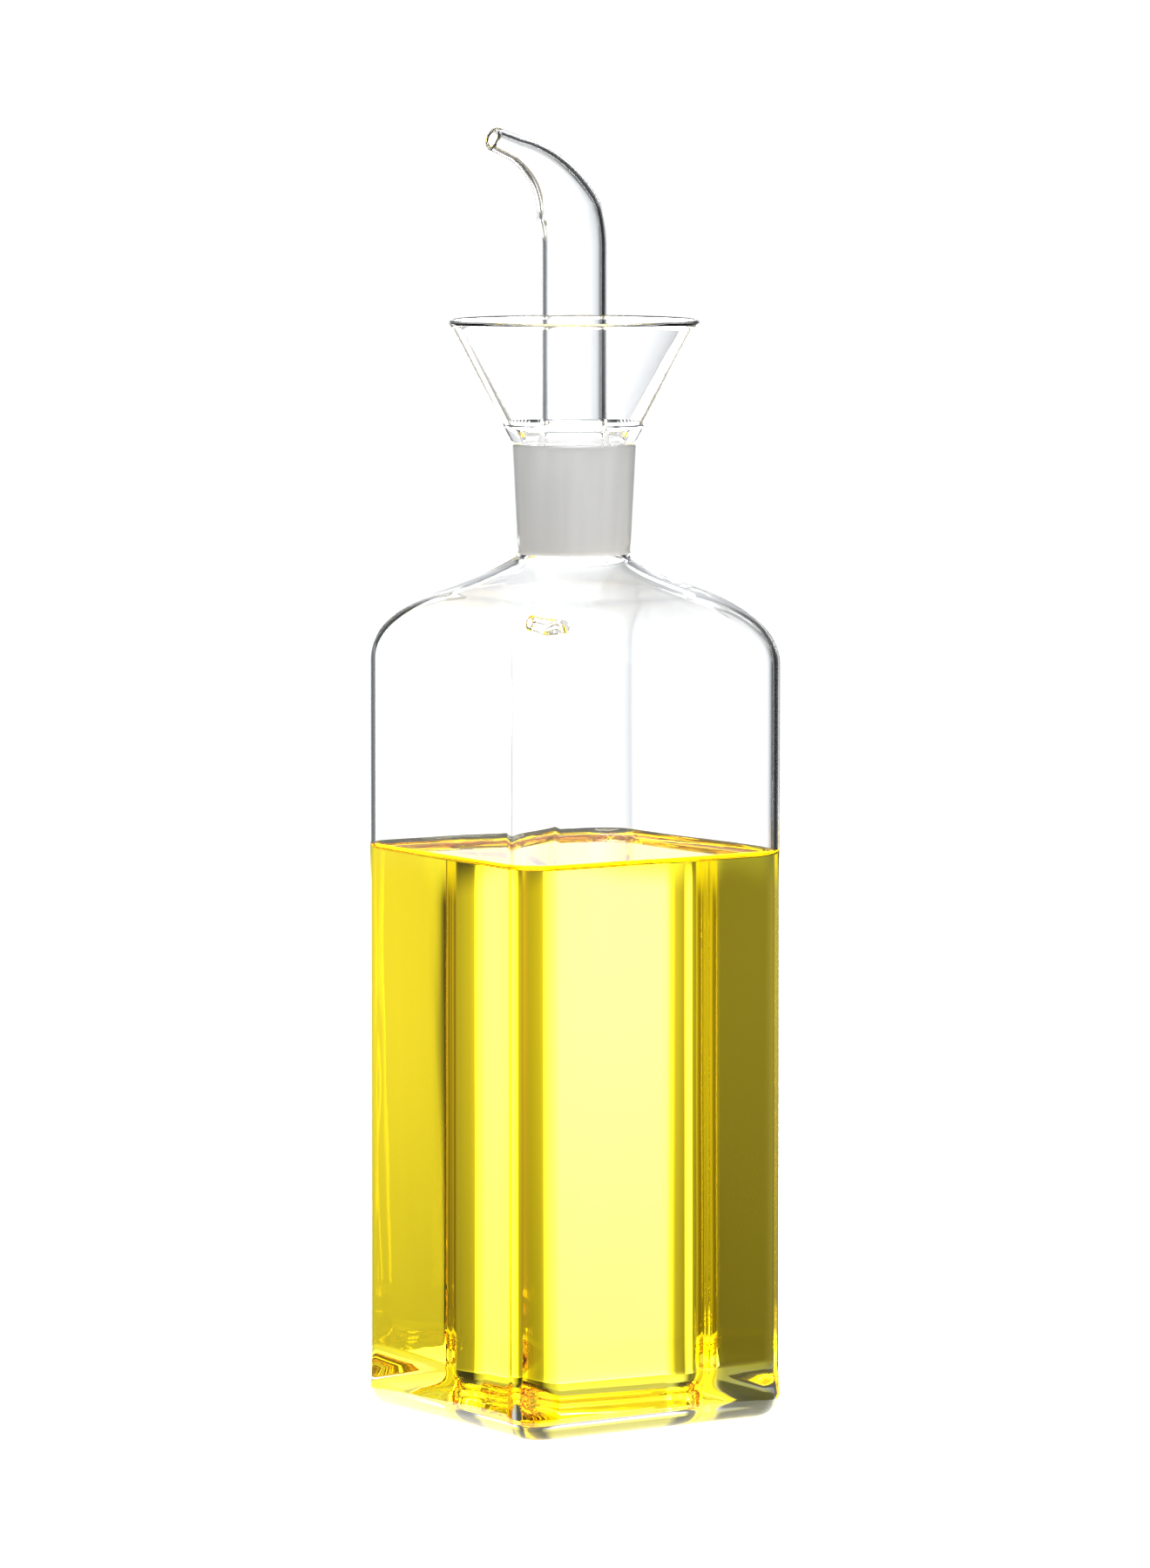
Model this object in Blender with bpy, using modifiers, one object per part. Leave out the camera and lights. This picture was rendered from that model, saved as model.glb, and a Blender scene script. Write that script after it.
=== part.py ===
"""Oil dispenser bottle: a square glass bottle, its ground-glass pourer and the oil in it.

Metres, +Z up. The origin is the centre of the underside. The spout points along -X.
"""

import math

import bmesh
import bpy
from mathutils import Matrix, Vector

# Bottle body
BODY_WIDTH = 0.0644
CORNER_RADIUS = 0.0076
WALL = 0.0020
BASE_THICKNESS = 0.0055
BASE_EDGE_RADIUS = 0.0050
FLOOR_EDGE_RADIUS = 0.0042

# Shoulder: a round edge above the straight wall, a slope, and a small hollow at the neck
SHOULDER_START = 0.1520
SHOULDER_RADIUS = 0.0167
SHOULDER_SLOPE = math.radians(29.6)
SHOULDER_ROUNDING = 0.7
NECK_FILLET = 0.0021

# Neck with the ground socket, which opens by 1 in 10 across
NECK_FOOT_RADIUS = 0.0114
NECK_TOP = 0.1960
NECK_LIP = 0.0004
SOCKET_FOOT = 0.1740
SOCKET_FOOT_RADIUS = 0.0094
JOINT_TAPER = 0.05
JOINT_GAP = 0.0003

# Pourer: ground plug, drip trough, funnel and spout
PLUG_FOOT = 0.1736
PLUG_WALL = 0.0020
PLUG_CHAMBER_TOP = 0.1945
PLUG_CHAMBER_SHOULDER = 0.1900
PLUG_CHAMBER_TOP_RADIUS = 0.00535
TROUGH_RADIUS = 0.0009
TROUGH_CENTRE_RADIUS = 0.0084
TROUGH_CENTRE_HEIGHT = 0.1955
TROUGH_FLARE_HEIGHT = 0.0040
TROUGH_FLARE_PULL = (0.0003, 0.0017)
FUNNEL_FOOT = 0.1963
FUNNEL_FOOT_RADIUS = 0.0126
FUNNEL_RIM = 0.2208
FUNNEL_RIM_RADIUS = 0.0252
FUNNEL_WALL = 0.0012
DRIP_HOLE_RADIUS = 0.0009
DRIP_HOLE_FOOT_RADIUS = 0.0060
DRIP_HOLE_TURN = math.radians(-30.0)

SPOUT_RADIUS = 0.00665
SPOUT_WALL = 0.0010
SPOUT_FOOT = 0.1935
SPOUT_BORE_FOOT = 0.1913
SPOUT_FOOT_COLLAR = 0.0068
SPOUT_COLLAR_TOP = 0.2010
SPOUT_BEND_START = 0.2352
SPOUT_BEND_RADIUS = 0.0211
SPOUT_BEND_ANGLE = math.radians(69.0)
SPOUT_TAPER_START = 0.0072
SPOUT_NOSE_RADIUS = 0.00268
SPOUT_NOSE_LENGTH = 0.0059
SPOUT_TIP_RADIUS = 0.00242

# Air vent: a small open tube drawn out of the shoulder near one corner
VENT_ROOT = Vector((-0.0218, -0.0284, 0.1617))
VENT_KNEE = Vector((-0.0258, -0.0286, 0.1619))
VENT_TIP = Vector((-0.0292, -0.0287, 0.1628))
VENT_RADIUS = 0.00175
VENT_TIP_RADIUS = 0.00160
VENT_BORE_RADIUS = 0.00060
VENT_BORE_INWARD = Vector((0.0025, 0.0035, -0.0060))

# Oil
OIL_LEVEL = 0.1135
FIT_GAP = 0.0003

# How far a cutting shape reaches past the surface it cuts
CUT_MARGIN = 0.0020

# Number of steps in the curved stretches
CORNER_STEPS = 8
EDGE_STEPS = 4
SHOULDER_STEPS = 9
SLOPE_STEPS = 5
FILLET_STEPS = 3
TROUGH_STEPS = 6
TROUGH_FLARE_STEPS = 4
RIM_STEPS = 5
SPOUT_STEPS = 16
VENT_END_STEPS = 3
TURN_STEPS = 40
TUBE_BEVEL_RESOLUTION = 8

HALF_WIDTH = BODY_WIDTH / 2


def clear_scene():
    for old in list(bpy.data.objects):
        bpy.data.objects.remove(old, do_unlink=True)


def new_collection(name):
    collection = bpy.data.collections.new(name)
    bpy.context.scene.collection.children.link(collection)
    return collection


def make_material(name, colour, roughness, transmission, ior):
    material = bpy.data.materials.new(name)
    material.use_nodes = True
    shader = material.node_tree.nodes["Principled BSDF"]
    shader.inputs["Base Color"].default_value = (*colour, 1.0)
    shader.inputs["Metallic"].default_value = 0.0
    shader.inputs["Roughness"].default_value = roughness
    shader.inputs["Transmission Weight"].default_value = transmission
    shader.inputs["IOR"].default_value = ior
    material.diffuse_color = (*colour, 1.0)
    return material


def add_object(name, mesh, collection):
    piece = bpy.data.objects.new(name, mesh)
    collection.objects.link(piece)
    return piece


def mark_cutter(piece):
    """A helper shape that shapes a part and isn't one itself."""
    piece.hide_render = True
    piece.display_type = "WIRE"
    return piece


def section(half, corner, roundness, height):
    """One ring of the body: a rounded square that turns into a circle as roundness goes to 1."""
    per_quarter = CORNER_STEPS + 2
    points = []
    for quarter in range(4):
        turn = Matrix.Rotation(math.radians(90.0 * quarter), 3, "Z")
        for step in range(per_quarter):
            if step <= CORNER_STEPS:
                angle = math.radians(90.0 * step / CORNER_STEPS)
                centre = half - corner
                square = Vector((centre + corner * math.cos(angle), centre + corner * math.sin(angle), 0.0))
            else:
                square = Vector((0.0, half, 0.0))
            angle = math.radians(90.0 * (step + 1) / per_quarter)
            circle = Vector((half * math.cos(angle), half * math.sin(angle), 0.0))
            point = turn @ square.lerp(circle, roundness)
            point.z = height
            points.append(point)
    return points


def floor_sections(inset, floor, edge):
    """Rings of the rounded edge between a floor and the walls, which stand in by inset."""
    half = HALF_WIDTH - inset
    corner = CORNER_RADIUS - inset
    rings = []
    for step in range(EDGE_STEPS + 1):
        angle = math.radians(90.0 * step / EDGE_STEPS)
        pull = edge * (1.0 - math.sin(angle))
        rings.append(section(half - pull, corner - pull, 0.0, floor + edge * (1.0 - math.cos(angle))))
    return rings


def shoulder_sections(inset):
    """Rings of the shoulder up to the foot of the neck, on a surface moved in by inset."""
    half = HALF_WIDTH - inset
    corner = CORNER_RADIUS - inset
    neck = NECK_FOOT_RADIUS - inset
    round_radius = SHOULDER_RADIUS - inset
    fillet = NECK_FILLET + inset
    outline = []
    for step in range(SHOULDER_STEPS + 1):
        angle = (math.pi / 2 - SHOULDER_SLOPE) * step / SHOULDER_STEPS
        outline.append((half - round_radius + round_radius * math.cos(angle),
                        SHOULDER_START + round_radius * math.sin(angle)))
    start_reach, start_height = outline[-1]
    end_reach = neck + fillet * (1.0 - math.sin(SHOULDER_SLOPE))
    for step in range(1, SLOPE_STEPS + 1):
        reach = start_reach + (end_reach - start_reach) * step / SLOPE_STEPS
        outline.append((reach, start_height + (start_reach - reach) * math.tan(SHOULDER_SLOPE)))
    end_height = outline[-1][1]
    for step in range(1, FILLET_STEPS + 1):
        angle = SHOULDER_SLOPE + (math.pi / 2 - SHOULDER_SLOPE) * step / FILLET_STEPS
        outline.append((neck + fillet * (1.0 - math.sin(angle)),
                        end_height + fillet * (math.cos(SHOULDER_SLOPE) - math.cos(angle))))
    rings = []
    for reach, height in outline:
        share = ((half - reach) / (half - neck)) ** SHOULDER_ROUNDING
        rings.append(section(reach, corner, share * share * (3.0 - 2.0 * share), height))
    return rings


def loft(name, rings, collection):
    """A closed body through a stack of rings, with flat ends."""
    bm = bmesh.new()
    layers = [[bm.verts.new(point) for point in ring] for ring in rings]
    count = len(layers[0])
    for lower, upper in zip(layers, layers[1:]):
        for index in range(count):
            following = (index + 1) % count
            bm.faces.new((lower[index], lower[following], upper[following], upper[index]))
    bm.faces.new(list(reversed(layers[0])))
    bm.faces.new(layers[-1])
    mesh = bpy.data.meshes.new(name)
    bm.to_mesh(mesh)
    bm.free()
    return add_object(name, mesh, collection)


def turned(name, profile, collection):
    """A turned body: the profile of (radius, height) runs down its outer side from the axis."""
    mesh = bpy.data.meshes.new(name)
    corners = [(radius, 0.0, height) for radius, height in profile]
    edges = [(index, index + 1) for index in range(len(corners) - 1)]
    mesh.from_pydata(corners, edges, [])
    piece = add_object(name, mesh, collection)
    screw = piece.modifiers.new("Turn", "SCREW")
    screw.axis = "Z"
    screw.angle = math.radians(360.0)
    screw.steps = TURN_STEPS
    screw.render_steps = TURN_STEPS
    screw.use_merge_vertices = True
    screw.merge_threshold = 0.00001
    return piece


def tube(name, route, collection):
    """A solid round bar along a route of (point, radius), as a mesh with welded ends."""
    curve = bpy.data.curves.new(name, "CURVE")
    curve.dimensions = "3D"
    curve.bevel_depth = 1.0
    curve.bevel_resolution = TUBE_BEVEL_RESOLUTION
    curve.use_fill_caps = True
    spline = curve.splines.new("POLY")
    spline.points.add(len(route) - 1)
    for target, (point, radius) in zip(spline.points, route):
        target.co = (*point, 1.0)
        target.radius = radius
    bar = add_object(name + "_route", curve, collection)
    graph = bpy.context.evaluated_depsgraph_get()
    mesh = bpy.data.meshes.new_from_object(bar.evaluated_get(graph))
    bm = bmesh.new()
    bm.from_mesh(mesh)
    bmesh.ops.remove_doubles(bm, verts=bm.verts, dist=0.00001)
    bm.to_mesh(mesh)
    bm.free()
    piece = add_object(name, mesh, collection)
    piece.matrix_world = bar.matrix_world
    bpy.data.objects.remove(bar, do_unlink=True)
    return piece


def rounded_end(start, following, radius, steps):
    """Stations of (point, radius) that round off a bar before the start of its route."""
    back = (start - following).normalized() * radius
    stations = []
    for step in range(steps):
        angle = math.radians(90.0 * (steps - step) / (steps + 1))
        stations.append((start + back * math.sin(angle), radius * math.cos(angle)))
    return stations


def combine(piece, operation, helper):
    """Join a helper shape to the piece, or cut it out of the piece."""
    change = piece.modifiers.new(helper.name, "BOOLEAN")
    change.operation = operation
    change.object = mark_cutter(helper)


def finish_part(piece, material):
    piece.data.materials.clear()
    piece.data.materials.append(material)
    piece.data.shade_smooth()
    piece.data.set_sharp_from_angle(angle=math.radians(35.0))


def arc(centre, radius, start, end, steps):
    """Points of (radius, height) on an arc, by its angles from the outward direction."""
    points = []
    for step in range(steps + 1):
        angle = math.radians(start + (end - start) * step / steps)
        points.append((centre[0] + radius * math.cos(angle), centre[1] + radius * math.sin(angle)))
    return points


def flare(start, pull, end, steps):
    """Points after start on a curve that leaves towards pull and runs to end."""
    points = []
    for step in range(1, steps + 1):
        share = step / steps
        weights = ((1.0 - share) ** 2, 2.0 * share * (1.0 - share), share ** 2)
        reach = sum(weight * point[0] for weight, point in zip(weights, (start, pull, end)))
        height = sum(weight * point[1] for weight, point in zip(weights, (start, pull, end)))
        points.append((reach, height))
    return points


def socket_radius(height):
    return SOCKET_FOOT_RADIUS + JOINT_TAPER * (height - SOCKET_FOOT)


def funnel_radius(height):
    """Outer radius of the funnel's straight side."""
    rise = (FUNNEL_RIM_RADIUS - FUNNEL_FOOT_RADIUS) / (FUNNEL_RIM - FUNNEL_FOOT)
    return FUNNEL_FOOT_RADIUS + rise * (height - FUNNEL_FOOT)


def make_bottle(parts, helpers):
    outer_neck = socket_radius(NECK_TOP) + WALL
    rings = floor_sections(0.0, 0.0, BASE_EDGE_RADIUS)
    rings += shoulder_sections(0.0)
    rings.append(section(outer_neck, CORNER_RADIUS, 1.0, NECK_TOP - NECK_LIP))
    rings.append(section(outer_neck - NECK_LIP, CORNER_RADIUS, 1.0, NECK_TOP))
    bottle = loft("bottle", rings, parts)

    rings = floor_sections(WALL, BASE_THICKNESS, FLOOR_EDGE_RADIUS)
    rings += shoulder_sections(WALL)
    above_neck = NECK_TOP + CUT_MARGIN
    rings.append(section(socket_radius(above_neck), CORNER_RADIUS, 1.0, above_neck))
    inside = loft("bottle_inside", rings, helpers)

    past_tip = VENT_TIP + (VENT_TIP - VENT_KNEE).normalized() * CUT_MARGIN
    vent = tube("vent_outside", rounded_end(VENT_ROOT, VENT_KNEE, VENT_RADIUS, VENT_END_STEPS) + [
        (VENT_ROOT, VENT_RADIUS),
        (VENT_KNEE, VENT_RADIUS),
        (VENT_TIP, VENT_TIP_RADIUS),
    ], helpers)
    vent_bore = tube("vent_bore", [
        (VENT_ROOT + VENT_BORE_INWARD, VENT_BORE_RADIUS),
        (VENT_ROOT, VENT_BORE_RADIUS),
        (VENT_KNEE, VENT_BORE_RADIUS),
        (past_tip, VENT_BORE_RADIUS),
    ], helpers)
    combine(bottle, "UNION", vent)
    combine(bottle, "DIFFERENCE", inside)
    combine(bottle, "DIFFERENCE", vent_bore)
    return bottle


def pourer_profile():
    """Outline of the pourer without its spout, from the axis over the funnel down to the plug."""
    rim_bead = FUNNEL_WALL / 2
    slope = math.degrees(math.atan((FUNNEL_RIM_RADIUS - FUNNEL_FOOT_RADIUS) / (FUNNEL_RIM - FUNNEL_FOOT)))
    trough = (TROUGH_CENTRE_RADIUS, TROUGH_CENTRE_HEIGHT)
    inner_start = TROUGH_CENTRE_HEIGHT + TROUGH_FLARE_HEIGHT
    inner_shift = FUNNEL_WALL / math.cos(math.radians(slope))
    rim_centre = (FUNNEL_RIM_RADIUS - rim_bead, FUNNEL_RIM - rim_bead)

    points = [(0.0, SPOUT_COLLAR_TOP), (SPOUT_FOOT_COLLAR, SPOUT_COLLAR_TOP)]
    points += arc(trough, TROUGH_RADIUS, -180.0, 0.0, TROUGH_STEPS)
    foot = points[-1]
    pull = (foot[0] + TROUGH_FLARE_PULL[0], foot[1] + TROUGH_FLARE_PULL[1])
    end = (funnel_radius(inner_start) - inner_shift, inner_start)
    points += flare(foot, pull, end, TROUGH_FLARE_STEPS)
    points += arc(rim_centre, rim_bead, 180.0 - slope, -slope, RIM_STEPS)
    points.append((FUNNEL_FOOT_RADIUS, FUNNEL_FOOT))
    points.append((socket_radius(FUNNEL_FOOT) - JOINT_GAP, FUNNEL_FOOT))
    points.append((socket_radius(PLUG_FOOT) - JOINT_GAP, PLUG_FOOT))
    points.append((0.0, PLUG_FOOT))
    return points


def spout_radius(along):
    """Outer radius at a distance along the bend and the nose after it."""
    bend_length = SPOUT_BEND_RADIUS * SPOUT_BEND_ANGLE
    if along < bend_length:
        share = max(0.0, along - SPOUT_TAPER_START) / (bend_length - SPOUT_TAPER_START)
        return SPOUT_RADIUS + (SPOUT_NOSE_RADIUS - SPOUT_RADIUS) * share
    share = (along - bend_length) / SPOUT_NOSE_LENGTH
    return SPOUT_NOSE_RADIUS + (SPOUT_TIP_RADIUS - SPOUT_NOSE_RADIUS) * share


def spout_route(shrink, foot, overrun):
    """Centre line of the spout with its radius less shrink, from foot to overrun past the tip."""
    bend_length = SPOUT_BEND_RADIUS * SPOUT_BEND_ANGLE
    whole = bend_length + SPOUT_NOSE_LENGTH
    route = [(Vector((0.0, 0.0, foot)), SPOUT_RADIUS - shrink)]
    for step in range(SPOUT_STEPS + 1):
        along = whole * step / SPOUT_STEPS
        angle = min(along, bend_length) / SPOUT_BEND_RADIUS
        direction = Vector((-math.sin(angle), 0.0, math.cos(angle)))
        point = Vector((SPOUT_BEND_RADIUS * (math.cos(angle) - 1.0), 0.0,
                        SPOUT_BEND_START + SPOUT_BEND_RADIUS * math.sin(angle)))
        point += direction * max(0.0, along - bend_length)
        radius = spout_radius(along)
        route.append((point, radius - shrink))
    if overrun:
        route.append((route[-1][0] + direction * overrun, route[-1][1]))
    return route


def make_pourer(parts, helpers):
    pourer = turned("pourer", pourer_profile(), parts)
    spout = tube("spout_outside", spout_route(0.0, SPOUT_FOOT, 0.0), helpers)
    spout_bore = tube("spout_bore", spout_route(SPOUT_WALL, SPOUT_BORE_FOOT, CUT_MARGIN), helpers)

    below_plug = PLUG_FOOT - CUT_MARGIN
    chamber_foot = socket_radius(below_plug) - JOINT_GAP - PLUG_WALL
    chamber_shoulder = socket_radius(PLUG_CHAMBER_SHOULDER) - JOINT_GAP - PLUG_WALL
    chamber = turned("plug_chamber", [
        (0.0, PLUG_CHAMBER_TOP),
        (PLUG_CHAMBER_TOP_RADIUS, PLUG_CHAMBER_TOP),
        (chamber_shoulder, PLUG_CHAMBER_SHOULDER),
        (chamber_foot, below_plug),
        (0.0, below_plug),
    ], helpers)

    turn = Matrix.Rotation(DRIP_HOLE_TURN, 3, "Z")
    drip_top = turn @ Vector((TROUGH_CENTRE_RADIUS, 0.0, TROUGH_CENTRE_HEIGHT))
    drip_foot = turn @ Vector((DRIP_HOLE_FOOT_RADIUS, 0.0, PLUG_CHAMBER_SHOULDER))
    drip_hole = tube("drip_hole", [(drip_foot, DRIP_HOLE_RADIUS), (drip_top, DRIP_HOLE_RADIUS)], helpers)

    combine(pourer, "UNION", spout)
    combine(pourer, "DIFFERENCE", chamber)
    combine(pourer, "DIFFERENCE", spout_bore)
    combine(pourer, "DIFFERENCE", drip_hole)
    return pourer


def make_oil(parts):
    inset = WALL + FIT_GAP
    rings = floor_sections(inset, BASE_THICKNESS + FIT_GAP, FLOOR_EDGE_RADIUS)
    rings.append(section(HALF_WIDTH - inset, CORNER_RADIUS - inset, 0.0, OIL_LEVEL))
    return loft("oil", rings, parts)


def main():
    clear_scene()
    parts = new_collection("oil_dispenser_bottle")
    helpers = new_collection("helpers")
    clear_glass = make_material("clear_glass", (0.96, 0.98, 0.99), 0.02, 1.0, 1.47)
    ground_glass = make_material("ground_glass", (0.93, 0.95, 0.96), 0.05, 1.0, 1.47)
    yellow_oil = make_material("yellow_oil", (0.95, 0.84, 0.12), 0.05, 0.8, 1.47)
    finish_part(make_bottle(parts, helpers), clear_glass)
    finish_part(make_pourer(parts, helpers), ground_glass)
    finish_part(make_oil(parts), yellow_oil)


main()
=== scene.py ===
"""Looks of the oil dispenser bottle: clear blown glass, a ground-glass joint and yellow oil.

Metres, +Z up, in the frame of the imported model. The spout points along -X.
"""

import math

import bmesh
import bpy
from mathutils import Matrix, Vector, noise


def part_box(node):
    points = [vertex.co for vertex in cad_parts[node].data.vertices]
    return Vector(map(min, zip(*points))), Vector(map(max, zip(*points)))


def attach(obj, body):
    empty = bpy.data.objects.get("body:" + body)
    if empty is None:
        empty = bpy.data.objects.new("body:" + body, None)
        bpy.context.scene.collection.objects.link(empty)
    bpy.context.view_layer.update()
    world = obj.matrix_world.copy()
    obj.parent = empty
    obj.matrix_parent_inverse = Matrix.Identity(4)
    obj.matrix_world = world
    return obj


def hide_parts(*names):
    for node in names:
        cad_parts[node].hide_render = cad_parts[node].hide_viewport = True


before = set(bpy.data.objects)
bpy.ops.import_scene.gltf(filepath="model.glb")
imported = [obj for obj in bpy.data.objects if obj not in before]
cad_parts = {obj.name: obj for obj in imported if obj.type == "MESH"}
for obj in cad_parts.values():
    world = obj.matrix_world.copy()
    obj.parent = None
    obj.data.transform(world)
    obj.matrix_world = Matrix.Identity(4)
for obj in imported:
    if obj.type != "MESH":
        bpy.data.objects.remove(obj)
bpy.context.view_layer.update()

# Sizes read from the frame
BOTTLE_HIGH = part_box("bottle")[1]
OIL_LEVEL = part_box("oil")[1][2]
HALF_WIDTH = BOTTLE_HIGH[0]
NECK_TOP = BOTTLE_HIGH[2]

# Bottle body
CORNER_RADIUS = 0.0076
WALL = 0.0020
BASE_THICKNESS = 0.0055
BASE_EDGE_RADIUS = 0.0050
FLOOR_EDGE_RADIUS = 0.0042
SHOULDER_START = 0.1520
SHOULDER_RADIUS = 0.0167
SHOULDER_SLOPE = math.radians(29.6)
SHOULDER_ROUNDING = 0.7
NECK_FILLET = 0.0021
NECK_FOOT_RADIUS = 0.0114

# Uneven blown walls: how far the faces bow, and how far the walls swell in and out
FACE_BOW = 0.0003
OUTER_DRAW_IN = 0.00008
OUTER_SWELL = 0.00007
OUTER_SEED = 0.0
INNER_SWELL = 0.00022
INNER_SEED = 7.3
SWELL_SCALE = (42.0, 42.0, 13.0)
SWELL_GAIN = 1.4
UNEVEN_START = 0.0015
UNEVEN_RUN_IN = 0.0100
EVEN_BELOW_SOCKET = 0.0020
NEAR_AXIS = 0.0010

# Where each finish of the bottle's glass starts and ends
UPRIGHT_FOOT = 0.0120
MID_WALL = 0.0010
MID_BASE = 0.0033
GROUND_BELOW_SOCKET = 0.0006
GROUND_MARGIN = 0.0003

# Ground joint
SOCKET_FOOT = 0.1740
SOCKET_FOOT_RADIUS = 0.0094
JOINT_TAPER = 0.05
JOINT_GAP = 0.0003
LIP_RADIUS = 0.0008
INNER_LIP_RADIUS = 0.0004

# Pourer
PLUG_FOOT = 0.1736
PLUG_FOOT_ROUND = 0.0007
PLUG_WALL = 0.0020
CHAMBER_SHOULDER = 0.1900
CHAMBER_SHOULDER_ROUND = (0.0006, 0.0010)
CHAMBER_SIDE_ROUND = 0.0012
CHAMBER_THROAT = 0.0060
CHAMBER_THROAT_PULL = 0.0030
TROUGH_RADIUS = 0.0009
TROUGH_CENTRE_RADIUS = 0.0084
TROUGH_CENTRE_HEIGHT = 0.1955
TROUGH_FLARE_HEIGHT = 0.0040
TROUGH_FLARE_PULL = (0.0003, 0.0017)
TROUGH_INNER_FLARE_HEIGHT = 0.0058
TROUGH_INNER_FLARE_PULL = 0.0020
FUNNEL_FOOT = 0.1963
FUNNEL_FOOT_RADIUS = 0.0126
FUNNEL_FOOT_ROUND = 0.0004
FUNNEL_RIM = 0.2208
FUNNEL_RIM_RADIUS = 0.0252
FUNNEL_WALL = 0.0012
DRIP_HOLE_RADIUS = 0.0009
DRIP_HOLE_FOOT_RADIUS = 0.0060
DRIP_HOLE_TURN = math.radians(-30.0)
SPOUT_RADIUS = 0.00665
SPOUT_WALL = 0.0010
SPOUT_BEND_START = 0.2352
SPOUT_BEND_RADIUS = 0.0211
SPOUT_BEND_ANGLE = math.radians(69.0)
SPOUT_TAPER_START = 0.0072
SPOUT_TAPER_FULLNESS = 0.05
SPOUT_NOSE_RADIUS = 0.00268
SPOUT_NOSE_LENGTH = 0.0059
SPOUT_TIP_RADIUS = 0.00242

# Air vent on the shoulder
VENT_ROOT = Vector((-0.0218, -0.0284, 0.1617))
VENT_KNEE = Vector((-0.0258, -0.0286, 0.1619))
VENT_TIP = Vector((-0.0292, -0.0287, 0.1628))
VENT_RADIUS = 0.00175
VENT_TIP_RADIUS = 0.00160
VENT_BORE_RADIUS = 0.00060
VENT_BORE_INWARD = Vector((0.0025, 0.0035, -0.0060))
CUT_MARGIN = 0.0020

# Oil against the glass, and how its surface is spaced and rounded towards its middle
OIL_INTO_WALL = 0.0003
MENISCUS_HEIGHT = 0.0015
MENISCUS_REACH = 0.0013
SURFACE_CROWDING = 2.2
SURFACE_CORNER_SHRINK = 0.55
SURFACE_CORNER_LEAST = 0.0022

# Glass: how strongly it bends light, and the tint of its reflections
GLASS_IOR = 1.56
FOOT_IOR = 1.06
FOOT_ZONE = (0.1880, 0.2000)
VENT_IOR = 1.18
FULL_SHINE = (1.0, 1.0, 1.0)
CLEAR_SHINE = (0.40, 0.41, 0.43)
WALL_SHINE = (0.12, 0.12, 0.10)
CORD_SCALE = (90.0, 90.0, 22.0)
CORD_STRENGTH = 0.25
CORD_DEPTH = 0.00012

# Ground glass
GROUND_IOR = 1.3
GROUND_CLEARNESS = 0.20
GROUND_GRAIN = 1400.0
GROUND_RUNS = (260.0, 260.0, 25.0)
GROUND_RUNS_RANGE = (0.3, 0.7)
GROUND_WHITENESS = (0.90, 1.0)
GROUND_ROUGHNESS = (0.55, 0.75)

# Oil
OIL_SHINE = (0.50, 0.45, 0.20)
OIL_COLOUR = (0.9955, 0.950, 0.0)
OIL_DENSITY = 56.0

# Camera, in the photograph's frame of 1320 x 1800 pixels
FRAME_HEIGHT_PX = 1800.0
FOCAL_PX = 9770.0
SENSOR_MM = 36.0
CAMERA_AZIMUTH = math.radians(-33.5)
CAMERA_DISTANCE = 1.705
CAMERA_HEIGHT = 0.2858
CAMERA_PITCH = math.radians(5.308)
AXIS_OFFSET_PX = 1.25

# Light of the studio, as (azimuth, strength): degrees from straight behind the bottle, + to the left.
# The low panels shine through the oil, the high ones through the empty glass.
LOW_PANELS = (
    (-180.0, 0.5), (-152.0, 0.25), (-133.0, 0.05), (-121.8, 0.05), (-119.3, 1.0), (-105.0, 1.0),
    (-90.0, 0.8), (-60.0, 0.5), (-42.0, 0.55), (-26.0, 0.7), (-21.0, 0.9), (-17.0, 6.0),
    (-10.0, 9.0), (0.0, 16.0), (6.0, 12.0), (10.0, 2.0), (14.0, 0.8), (23.0, 0.5),
    (27.0, 5.0), (33.0, 5.0), (37.0, 0.5), (62.0, 0.27), (80.0, 0.25), (100.0, 0.4),
    (143.0, 0.8), (150.0, 0.5), (158.0, 0.30), (170.0, 0.30),
)
HIGH_PANELS = (
    (-180.0, 1.15), (-113.0, 1.1), (-90.0, 0.7), (-60.0, 0.10), (-45.0, 0.02), (-22.0, 0.03),
    (-13.0, 0.8), (-7.0, 0.98), (-2.0, 1.22), (3.0, 1.5), (12.0, 1.5), (17.0, 1.3),
    (22.0, 1.1), (29.0, 0.15), (42.0, 0.15), (66.0, 0.4), (100.0, 0.9), (150.0, 1.3),
    (170.0, 1.15),
)
TOP_PANELS = (
    (-180.0, 1.0), (-165.0, 1.0), (-150.0, 2.0), (-110.0, 2.0), (-75.0, 0.10), (-18.0, 0.06),
    (-9.0, 0.7), (9.0, 0.7), (18.0, 0.06), (75.0, 0.10), (110.0, 2.0), (150.0, 2.0),
    (160.0, 1.0), (180.0, 1.0),
)
LOW_STRONGEST = 16.0
HIGH_STRONGEST = 2.0
SHADE_BELOW = 2.0
COOL_SHADE = (0.90, 0.95, 1.0)
WARM_SHADE = (1.0, 0.91, 0.60)

# Where one band turns into the next, by the upward part of the direction
LOW_TO_HIGH = (-0.1045, -0.0995)
HIGH_TO_TOP = (0.11, 0.15)
BOTTOM_TO_LOW = (-0.40, -0.30)
LOW_FADE = (-0.17, -0.11)
LOW_FADE_PART = 0.65
FRONT_BOTTOM = 0.65
REAR_BOTTOM = 0.12
FRONT_TO_REAR = (-0.2, 0.3)

# Backdrop, floor and lamp
BACKDROP = 1.05
FLOOR_COLOUR = 0.92
FLOOR_ROUGHNESS = 0.9
FLOOR_RADIUS = 0.052
FLOOR_GLOW = 2.4
FLOOR_GAP = 0.0002
LAMP_SIZE = 1.6
LAMP_POWER = 90.0
LAMP_PLACE = (0.1, -0.1, 1.6)

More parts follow.
